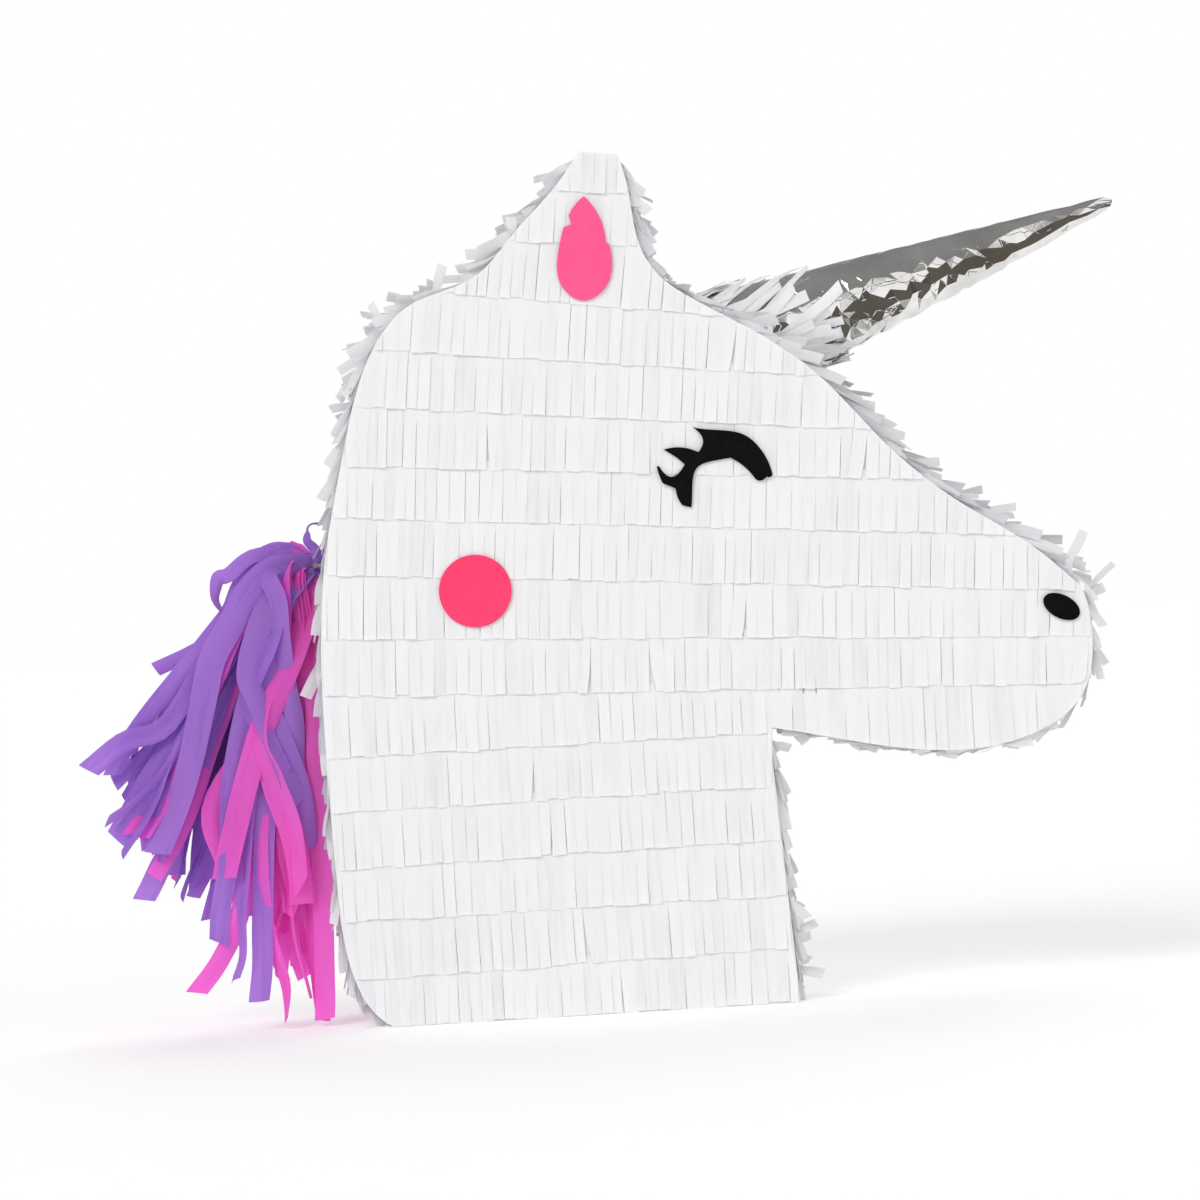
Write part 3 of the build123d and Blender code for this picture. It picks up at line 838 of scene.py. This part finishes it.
def make_edges():
    throat, jaw, muzzle, ear, ear_back, crest = edge_marks()
    end = path.length
    # name, start, end, tips towards the start, rise and its spread, twist, test for a place, length
    runs = [
        ("throat", throat + 2 * MM, jaw - 3 * MM, True, 0.10, 0.16, 0.5, None, 0.9),
        ("jaw", jaw + 6 * MM, muzzle - 2 * MM, True, 0.10, 0.14, 0.4, None, 0.6),
        ("brow", muzzle + 20 * MM, ear - 84 * MM, True, 0.30, 0.24, 1.0, off_horn, 1.15),
        ("ear_front", ear - 82 * MM, ear - 4 * MM, True, 0.25, 0.22, 0.9, off_horn, 0.85),
        ("crest", ear_back + 4 * MM, crest, False, 0.34, 0.28, 1.1, None, 0.95),
        ("nape", crest, end - 6 * MM, False, 0.16, 0.16, 0.7, None, 0.95),
    ]
    for number, (name, start, stop, reverse, rise, spread, twist, clear, length) in enumerate(runs):
        bunch = Leaves()
        rng = random.Random(500 + number)
        edge_run(bunch, rng, start, stop, reverse, rise, spread, twist, clear, EDGE_LENGTH * length)
        node = name + "_edge_fringe"
        # The edge leaves take the edge tissue, whose colour holds painted shade.
        bunch.build("edge_leaves_" + name, "edge", "head", "edge_tissue", (node,))


# Leaves that stand out beyond the outline: the corner they are counted from, the distance past it in
# millimetres, the angle from the outline's own direction in degrees, and the length in millimetres.
LOOSE = [
    ("ear_back", 5, 10, 9), ("ear_back", 12, 15, 14), ("ear_back", 31, 25, 13),
    ("ear_back", 57, 120, 11), ("ear_back", 61, 55, 23), ("ear_back", 69, 50, 23),
    ("ear_back", 114, 120, 21), ("ear_back", 95, 10, 25), ("ear_back", 120, 20, 16),
    ("ear_back", 127, 25, 17), ("ear_back", 147, 115, 21), ("ear_back", 149, 35, 25),
    ("crest", 0, 15, 31), ("crest", 10, 30, 18), ("crest", 25, 70, 16), ("crest", 24, 20, 24),
    ("crest", 30, 25, 19), ("crest", 43, 30, 22), ("crest", 52, 15, 20), ("crest", 61, 30, 22),
    ("crest", 71, 10, 14), ("crest", 82, 12, 15), ("crest", 285, 20, 19), ("crest", 301, 5, 21),
    ("crest", 316, 4, 26), ("crest", 333, 6, 15), ("muzzle", 334, 140, 15), ("muzzle", 326, 135, 17),
    ("muzzle", 319, 150, 25), ("muzzle", 291, 150, 15), ("muzzle", 270, 140, 12),
    ("muzzle", 196, 165, 30), ("muzzle", 164, 140, 22), ("muzzle", 156, 165, 19),
    ("muzzle", 146, 160, 28), ("muzzle", 113, 155, 21), ("muzzle", 90, 165, 21),
    ("muzzle", 60, 165, 16), ("muzzle", 3, 80, 30), ("jaw", 225, 155, 17), ("jaw", 204, 160, 22),
    ("jaw", 214, 168, 16), ("jaw", 25, 125, 9), ("jaw", 45, 15, 15), ("jaw", 86, 12, 15),
    ("jaw", 123, 12, 17), ("jaw", 145, 10, 10), ("throat", 140, 105, 14), ("throat", 127, 160, 17),
    ("throat", 90, 172, 24), ("throat", 58, 135, 18), ("throat", 30, 80, 18), ("throat", 22, 100, 19),
    ("throat", 118, 165, 20), ("throat", 76, 160, 18),
]


def loose_leaves():
    rng = random.Random(77)
    throat, jaw, muzzle, _, ear_back, crest = edge_marks()
    marks = {"throat": throat, "jaw": jaw, "muzzle": muzzle, "ear_back": ear_back, "crest": crest}
    bunch = Leaves()
    for mark, distance, angle, length in LOOSE:
        for copy, depth in enumerate((rng.uniform(1, 9), rng.uniform(14, 55), rng.uniform(60, 96))):
            bend = math.radians(angle + (rng.uniform(-18, 18) if copy else 0))
            spot = marks[mark] + (distance + (rng.uniform(-7, 7) if copy else 0)) * MM
            out2 = path.out(spot)
            place = path.at(spot) + out2 * 0.7 * MM
            along = Vector((-out2.y, out2.x)) * (1 if math.cos(bend) > 0 else -1)
            lift = math.atan2(math.sin(bend), abs(math.cos(bend)))
            base = Vector((place.x, -SKIN + depth * MM, place.y))
            turn = rng.choice((-1, 1)) * rng.uniform(0.7, 1.35)
            size = length * MM * (rng.uniform(0.6, 0.95) if copy else 1)
            way = Vector((along.x, 0, along.y))
            out = Vector((out2.x, 0, out2.y))
            bent_strip(bunch, rng, base, way, out, 5.8 * MM, size, max(lift, 0.12), turn, 0.2, 0.05)
    # The loose leaves take the edge tissue, whose colour holds painted shade.
    bunch.build("edge_leaves_loose", "edge", "head", "edge_tissue")


# ---------------------------------------------------------------- horn


def horn_point(distance, angle, extra):
    """A point on the horn: back from its tip, round its axis from the front face, and off its surface."""
    side1 = Vector((0, -1, 0))
    side2 = side1.cross(horn_way)
    radius = core_radius(distance) + extra
    return horn_tip - horn_way * distance + (side1 * math.cos(angle) + side2 * math.sin(angle)) * radius


def horn_leaves():
    """Leaves of the brow that lie up the horn and hide where its foil begins."""
    rng = random.Random(55)
    bunch = Leaves()
    for _ in range(HORN_LEAVES):
        angle = rng.uniform(0, 2 * math.pi)
        distance = HORN_REACH * 1.4
        while distance > 0.1:
            p = horn_point(distance, angle, 0)
            if not inside(Vector((p.x, p.z)), outline):
                break
            distance -= 1 * MM
        length = rng.uniform(14, 30) * MM
        low_side = math.sin(angle) > 0
        if abs(math.sin(angle)) < 0.75:
            length *= rng.uniform(1.1, 1.6)
        drift = rng.uniform(-0.5, 0.5) + (0.5 if low_side and math.cos(angle) > 0 else 0)
        lift = rng.choice((0.02, 0.05, 0.08, 0.16))
        layer = rng.uniform(1.4, 3.2) * MM
        half = LEAF_WIDTH * rng.uniform(0.5, 0.85) / 2
        columns = [[], [], []]
        for step in range(8):
            share = step / 7
            s = distance + 4 * MM - share * (length + 4 * MM)
            radius = core_radius(s)
            turn = angle + drift * share * length / radius
            for column, offset in zip(columns, (-1, 0, 1)):
                extra = layer + lift * share * share * length + 0.3 * MM * offset * share
                column.append(horn_point(s, turn + offset * half / radius, extra))
        bunch.strip(columns, rng.random(), rng.random() * 9)
    bunch.build("horn_base_leaves", "face", "head", "edge_tissue")


def make_horn():
    """Foil wrapped round the card cone: flat facets between creases, coarser towards the base."""
    rng = random.Random(71)
    side1 = Vector((0, 1, 0))
    side2 = horn_way.cross(side1)
    marks = []
    distance = 1.5 * MM
    while distance < HORN_REACH * 1.22:
        radius = horn_radius(distance)
        around = max(7, int(FULL_TURN * radius / (5.2 * MM)))
        for i in range(around):
            angle = (i + rng.uniform(-0.42, 0.42)) / around * FULL_TURN
            marks.append((angle % FULL_TURN, distance + rng.uniform(-2.4, 2.4) * MM))
        distance += rng.uniform(3.6, 6.0) * MM
    wide = []
    for angle, s in marks:
        s = max(0.4 * MM, s)
        for shift in (-FULL_TURN, 0, FULL_TURN):
            if -1.2 < angle + shift < FULL_TURN + 1.2:
                wide.append((angle + shift, s))
    flat = [Vector((a * UNROLLED, s)) for a, s in wide]
    points2, _, triangles, *_rest = geometry.delaunay_2d_cdt(flat, [], [], 0, 1e-7)
    heights = {}

    def place(p):
        angle = p.x / UNROLLED
        s = p.y
        key = (round(angle % FULL_TURN, 4) % round(FULL_TURN, 4), round(s, 6))
        if key not in heights:
            crumple = 0.05 + 0.75 * math.exp(-(((angle % FULL_TURN) - 3.75) / 0.55) ** 2)
            crumple += 0.6 * math.exp(-(((angle % FULL_TURN) - 4.9) / 0.6) ** 2)
            heights[key] = (0.35 + rng.uniform(0, 2.7) * crumple * min(1.0, s / (60 * MM))) * MM
        r = horn_radius(s) + heights[key]
        if s < 4 * MM:
            r = (3.4 * MM + s * 0.12) * math.sqrt(max(0.02, s / (4 * MM)))
        centre = horn_tip - horn_way * (s - 4.5 * MM)
        return centre + side1 * math.cos(angle) * r + side2 * math.sin(angle) * r

    index = {}
    points = []
    faces = []
    for triangle in triangles:
        middle = sum(points2[v].x for v in triangle) / 3 / UNROLLED
        if not 0 <= middle < FULL_TURN:
            continue
        corners = []
        for v in triangle:
            p = points2[v]
            key = (round((p.x / UNROLLED) % FULL_TURN, 4) % round(FULL_TURN, 4), round(p.y, 6))
            if key not in index:
                index[key] = len(points)
                points.append(place(p))
            corners.append(index[key])
        if len(set(corners)) == 3:
            faces.append(corners)
    return points, faces


def build_horn():
    points, faces = make_horn()
    mesh = bpy.data.meshes.new("horn_foil_wrap")
    kept = []
    for face in faces:
        middle = sum((points[v] for v in face), Vector()) / 3
        if not inside(Vector((middle.x, middle.z)), outline):
            kept.append(face)
    mesh.from_pydata([tuple(p) for p in points], [], kept)
    mesh.materials.append(looks["foil"])
    work = bmesh.new()
    work.from_mesh(mesh)
    loose = [v for v in work.verts if not v.link_faces]
    near_tip = horn_tip - horn_way * 5 * MM
    rim = [e for e in work.edges if e.is_boundary and (e.verts[0].co - near_tip).length < 10 * MM]
    bmesh.ops.holes_fill(work, edges=rim, sides=0)
    bmesh.ops.delete(work, geom=loose, context="VERTS")
    bmesh.ops.recalc_face_normals(work, faces=work.faces)
    work.to_mesh(mesh)
    work.free()
    add_piece("horn_foil_wrap", mesh, "head", ("horn_foil",))


# ---------------------------------------------------------------- mane


def smooth(points, count):
    """A smooth run of points through a few, evenly counted."""
    full = [points[0] * 2 - points[1], *points, points[-1] * 2 - points[-2]]
    result = []
    spans = len(points) - 1
    for i in range(count + 1):
        t = i / count * spans
        k = min(int(t), spans - 1)
        u = t - k
        a, b, c, d = full[k:k + 4]
        square = (a * 2 - b * 5 + c * 4 - d) * u * u
        cube = (b * 3 - a - c * 3 + d) * u ** 3
        result.append((b * 2 + (c - a) * u + square + cube) / 2)
    return result


def ribbon(bunch, rng, points, width, facing, turn=0.0, end_cut=0.0, steps=26):
    """A strip of mane: its face looks along facing, and turns over its length."""
    line = smooth(points, steps)
    columns = [[], [], [], []]
    phase = rng.random() * 6
    for i, p in enumerate(line):
        share = i / steps
        before = line[max(0, i - 1)]
        after = line[min(steps, i + 1)]
        tangent = (after - before).normalized()
        normal = facing - tangent * facing.dot(tangent)
        normal = normal.normalized() if normal.length > 1e-4 else Vector((0, -1, 0))
        across = tangent.cross(normal).normalized()
        spin = turn * share + 0.25 * math.sin(share * 5 + phase)
        across, normal = (
            across * math.cos(spin) + normal * math.sin(spin),
            normal * math.cos(spin) - across * math.sin(spin),
        )
        gather = min(1.0, 0.45 + share * 4.0)
        half = width / 2 * gather
        flute = width * 0.10 * math.sin(share * 7 + phase) * gather
        wave = normal * 0.6 * MM * math.sin(share * 19 + phase * 2)
        for c, (where, bulge) in enumerate(((-1, 0), (-0.35, 1), (0.35, 1), (1, 0))):
            point = p + across * half * where + normal * (flute + width * 0.06) * bulge + wave
            if i == steps:
                point = point + tangent * end_cut * width * where
            if point.z < 1.2 * MM:
                point.z = 1.2 * MM
            columns[c].append(point)
    bunch.strip(columns, rng.random(), rng.random() * 9)


def at_tie(dx, dy, dz):
    """A point given from the tie, in millimetres."""
    return TIE + Vector((dx, dy, dz)) * MM


# Strips that make the mane's shape: colour, width, twist, end cut, and points from the tie as
# (behind the tie, towards the back face, up), all in millimetres.
LEADS = [
    ("purple", 11, 0.2, 0.2, [
        (0, -4, 2), (-19, -14, 8), (-40, -20, -13), (-62, -22, -50), (-84, -24, -80), (-106, -24, -87),
        (-126, -24, -101),
    ]),
    ("purple", 8, 0.5, 0.1, [
        (0, -2, 1), (-20, 2, 8), (-40, 6, -20), (-56, 4, -35), (-72, 2, -43), (-90, 2, -50),
    ]),
    ("purple", 14.5, 0.1, 0.15, [
        (0, -5, 3), (-20, -18, 4), (-34, -24, -8), (-46, -27, -29), (-57, -29, -47), (-63, -30, -70),
        (-70, -30, -96), (-80, -28, -122), (-92, -27, -147),
    ]),
    ("purple", 13.5, -0.2, -0.1, [
        (0, -3, 4), (-26, -14, 3), (-42, -20, -30), (-62, -22, -65), (-86, -20, -96), (-101, -19, -119),
        (-114, -18, -139),
    ]),
    ("purple", 10, 0.3, 0.1, [
        (0, -5, 4), (-24, -22, 3), (-20, -28, -16), (-19, -30, -40), (-18, -30, -60), (-15, -30, -82),
        (-16, -29, -106),
    ]),
    ("purple", 11, 0.6, 0.3, [
        (0, -5, 0), (-20, -24, -20), (-30, -31, -60), (-22, -32, -90), (-14, -30, -118),
        (-12, -28, -150),
    ]),
    ("purple", 11, -0.5, 0.2, [
        (0, -4, 0), (-16, -20, -12), (-26, -31, -40), (-38, -32, -66), (-30, -33, -90),
        (-22, -33, -110),
    ]),
    ("pink", 11, 0.2, 0.1, [
        (0, -4, -2), (-3, -18, -34), (-4, -24, -70), (-5, -26, -120), (-6, -27, -180), (-8, -26, -225),
        (-9, -26, -240),
    ]),
    ("pink", 10, -0.4, -0.1, [
        (0, -3, -2), (-2, -10, -34), (-7, -14, -80), (-9, -16, -140), (-13, -18, -200),
        (-10, -18, -241),
    ]),
    ("pink", 13, 0.1, 0.15, [
        (0, -5, -4), (-10, -24, -34), (-22, -31, -62), (-32, -34, -84), (-42, -35, -112),
        (-50, -35, -138), (-57, -34, -162),
    ]),
    ("pink", 13, 0.3, 0.0, [
        (0, -5, -4), (-14, -22, -40), (-30, -30, -84), (-28, -33, -112), (-20, -33, -140),
        (-17, -33, -160), (-17, -32, -178),
    ]),
    ("pink", 8, 0.6, 0.4, [
        (0, -2, 0), (-40, -14, -30), (-68, -20, -74), (-80, -20, -96), (-92, -20, -116),
        (-106, -20, -136),
    ]),
    ("pink", 10, 0.2, 0.3, [
        (0, -3, -2), (-24, -16, -60), (-40, -24, -130), (-50, -26, -180), (-62, -26, -205),
        (-76, -25, -222),
    ]),
    ("purple", 12, -0.3, 0.2, [
        (0, -3, 2), (-30, -10, -10), (-60, -16, -80), (-78, -16, -130), (-94, -15, -158),
        (-102, -14, -172),
    ]),
    ("purple", 13, 0.9, 0.2, [
        (0, -5, 0), (-24, -24, -14), (-37, -34, -50), (-34, -36, -70), (-25, -36, -96),
        (-16, -35, -126),
    ]),
    ("pink", 12, -0.7, 0.5, [
        (0, -4, 0), (-26, -26, -50), (-34, -36, -88), (-27, -37, -112), (-20, -37, -134),
        (-17, -36, -170),
    ]),
    ("purple", 11, 0.4, -0.2, [
        (0, -4, 0), (-30, -22, -40), (-48, -31, -100), (-54, -32, -150), (-60, -31, -180),
        (-62, -30, -196),
    ]),
    ("purple", 10, -0.8, 0.3, [
        (0, -4, 0), (-24, -20, -50), (-42, -30, -120), (-48, -31, -170), (-50, -30, -200),
        (-54, -29, -217),
    ]),
    ("purple", 11, 0.5, 0.1, [
        (0, -4, 0), (-16, -20, -50), (-32, -29, -120), (-38, -30, -180), (-40, -30, -210),
        (-43, -29, -228),
    ]),
    ("purple", 9, 1.2, -0.4, [
        (0, -2, 2), (-34, -12, 2), (-58, -20, -44), (-70, -24, -80), (-92, -24, -112),
        (-118, -24, -128),
    ]),
    ("pink", 9, -1.0, 0.3, [
        (0, -3, 0), (-22, -20, -60), (-36, -28, -130), (-36, -28, -190), (-28, -28, -222),
        (-30, -27, -240),
    ]),
]


# The mane's tissue before it was slit and tied, in metres: how many strips, how wide one is,
# and how long the longest and the average one are. The widths and lengths are those of LEADS.
MANE_CUTS = {
    "purple": (59, 0.01115, 0.236, 0.182),
    "pink": (51, 0.01075, 0.249, 0.211),
}

# Two short ends that are caught at the loop and stand up against the nape
CURLS = [
    [(3, -8, -4), (1, -14, 6), (-3, -17, 14), (-2, -18, 20), (7, -19, 23)],
    [(4, -10, -2), (6, -17, 7), (9, -20, 16), (12, -20, 24)],
]


def make_mane():
    bunches = {"purple": Leaves(), "pink": Leaves()}
    rng = random.Random(7)
    for colour, width, turn, cut, points in LEADS:
        line = [at_tie(*p) for p in points]
        line[1].z -= 4 * MM
        line[2].z -= 2 * MM
        ribbon(bunches[colour], rng, line, width * MM, Vector((-0.15, -1, 0.15)), turn, cut)
    for _ in range(MANE_STRIPS):
        lay = rng.uniform(-1, 1)
        spread = rng.random()
        colour = "purple" if spread > 0.42 - 0.1 * lay else "pink"
        if rng.random() < 0.18:
            colour = "pink"
        reach = 14 + 96 * spread ** 1.1
        drop = (235 - 95 * spread ** 1.2) * rng.uniform(0.72, 1.0)
        deep = lay * (30 - 6 * spread)
        arch = rng.uniform(1, 8) if spread > 0.3 else -4
        line = [
            at_tie(rng.uniform(-1, 1), lay * 5, rng.uniform(-2, 2)),
            at_tie(-10 - 16 * spread, deep * 0.5, arch),
            at_tie(-reach * 0.42, deep * 0.85, -drop * 0.22 + arch),
            at_tie(-reach * 0.72 + rng.uniform(-6, 6), deep, -drop * 0.55),
            at_tie(-reach * 0.92 + rng.uniform(-8, 6), deep + rng.uniform(-3, 3), -drop * 0.8),
            at_tie(-reach + rng.uniform(-12, 6), deep + rng.uniform(-4, 4), -drop),
        ]
        line = [Vector((min(p.x, nape_low.x - 1.5 * MM), p.y, max(p.z, 2 * MM))) for p in line]
        line[0] = at_tie(0, lay * 5, 0)
        facing = Vector((-0.5, lay * 1.3 if abs(lay) > 0.2 else -0.4, 0.2)).normalized()
        width = rng.uniform(8.5, 12.5) * MM
        turn = rng.uniform(-1.5, 1.5)
        cut = rng.uniform(-0.3, 0.3)
        ribbon(bunches[colour], rng, line, width, facing, turn, cut)
    loops = [
        [(0, -3, 2), (-30, -12, 8), (-46, -16, -2), (-52, -17, -4), (-54, -17, -14), (-47, -16, -26)],
        [(0, -2, 0), (-18, -6, 10), (-32, -4, 6), (-42, 0, -6), (-50, 4, -24)],
        [(0, -2, 2), (-24, 8, 9), (-40, 10, -4), (-48, 12, -26), (-58, 12, -60)],
    ]
    for points in loops:
        line = [at_tie(*p) for p in points]
        ribbon(bunches["purple"], rng, line, 8 * MM, Vector((-0.2, -1, 0.3)), 1.2, 0.2)
    curls = Leaves()
    for points in CURLS:
        ribbon(curls, rng, [at_tie(*p) for p in points], 6.5 * MM, Vector((-0.2, -1, 0.1)), 1.6, 0.3)
    curls.build("mane_curls", "purple", "head", "purple_tissue")
    for colour, (count, width, longest, average) in MANE_CUTS.items():
        name = "mane_strips_" + colour
        piece = bunches[colour].build(name, colour, "mane", colour + "_tissue", ("mane_" + colour,))


# ---------------------------------------------------------------- CAD pieces that stay


def dress_cad():
    choices = {
        "card": ("front_panel", "back_panel", "hanger_plate", "fill_door", "horn_core"),
        "plain": ("base_cover", "door_pull_tab"),
        "tape": ("front_seam_tape", "back_seam_tape"),
        "eyelet": ("hanging_eyelet",),
        "wire": ("mane_loop",),
        "yarn": ("mane_tie",),
    }
    for look, nodes in choices.items():
        for node in nodes:
            set_look(node, look)
    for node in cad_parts:
        if node.endswith("_wall"):
            set_look(node, "plain")


def set_look(node, look):
    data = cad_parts[node].data
    if not data.materials:
        data.materials.append(looks[look])
    for number in range(len(data.materials)):
        data.materials[number] = looks[look]


def make_floor():
    mesh = bpy.data.meshes.new("floor")
    size = 30.0
    corners = [(-size, -size, 0), (size, -size, 0), (size, size, 0), (-size, size, 0)]
    mesh.from_pydata(corners, [], [(0, 1, 2, 3)])
    s = Shader("floor_paper_and_painted_reflection")
    grain = s.noise(s.coords((40, 40, 40), "Object"), 1.0)
    paint = s.ramp(grain, [(0.3, (0.86, 0.86, 0.86, 1)), (0.7, (0.88, 0.88, 0.88, 1))])
    s.link(paint, s.base.inputs["Base Color"])
    s.base.inputs["Emission Color"].default_value = (1, 1, 1, 1)
    s.base.inputs["Emission Strength"].default_value = 0.30
    s.finish(0.9)
    # Painted reflection: glossy rays that meet the floor more than 0.16 m in front of the head see a dark
    # brown glow instead of the white floor, so the foil reflects a dark band that no real thing there
    # gives.
    place = s.node("SeparateXYZ")
    s.link(s.coords((1, 1, 1), "Object"), place.inputs[0])
    before = s.math("GREATER_THAN", s.math("MULTIPLY", place.outputs["Y"], -1.0), 0.16)
    path_kind = s.node("LightPath")
    painted_reflection_mask = s.math("MULTIPLY", before, path_kind.outputs["Is Glossy Ray"])
    dark = s.node("Emission", Color=(0.13, 0.115, 0.095, 1), Strength=1.0)
    mix = s.node("MixShader")
    s.link(painted_reflection_mask, mix.inputs[0])
    s.link(s.base.outputs[0], mix.inputs[1])
    s.link(dark.outputs[0], mix.inputs[2])
    s.link(mix.outputs[0], s.out.inputs["Surface"])
    mesh.materials.append(s.material)
    floor = bpy.data.objects.new("floor", mesh)
    bpy.context.scene.collection.objects.link(floor)


bpy.context.scene.view_settings.view_transform = "Standard"
make_camera()
make_world()
make_sun("key", (-1.1, -1.9, 1.7), 1.04, 25)
make_sun("fill", (1.5, -1.8, 0.7), 0.32, 60, False)
make_sun("back", (0.3, 1.6, 1.8), 0.95, 45, False)
make_floor()
make_faces()
make_decorations()
make_edges()
loose_leaves()
build_horn()
horn_leaves()
make_mane()
dress_cad()
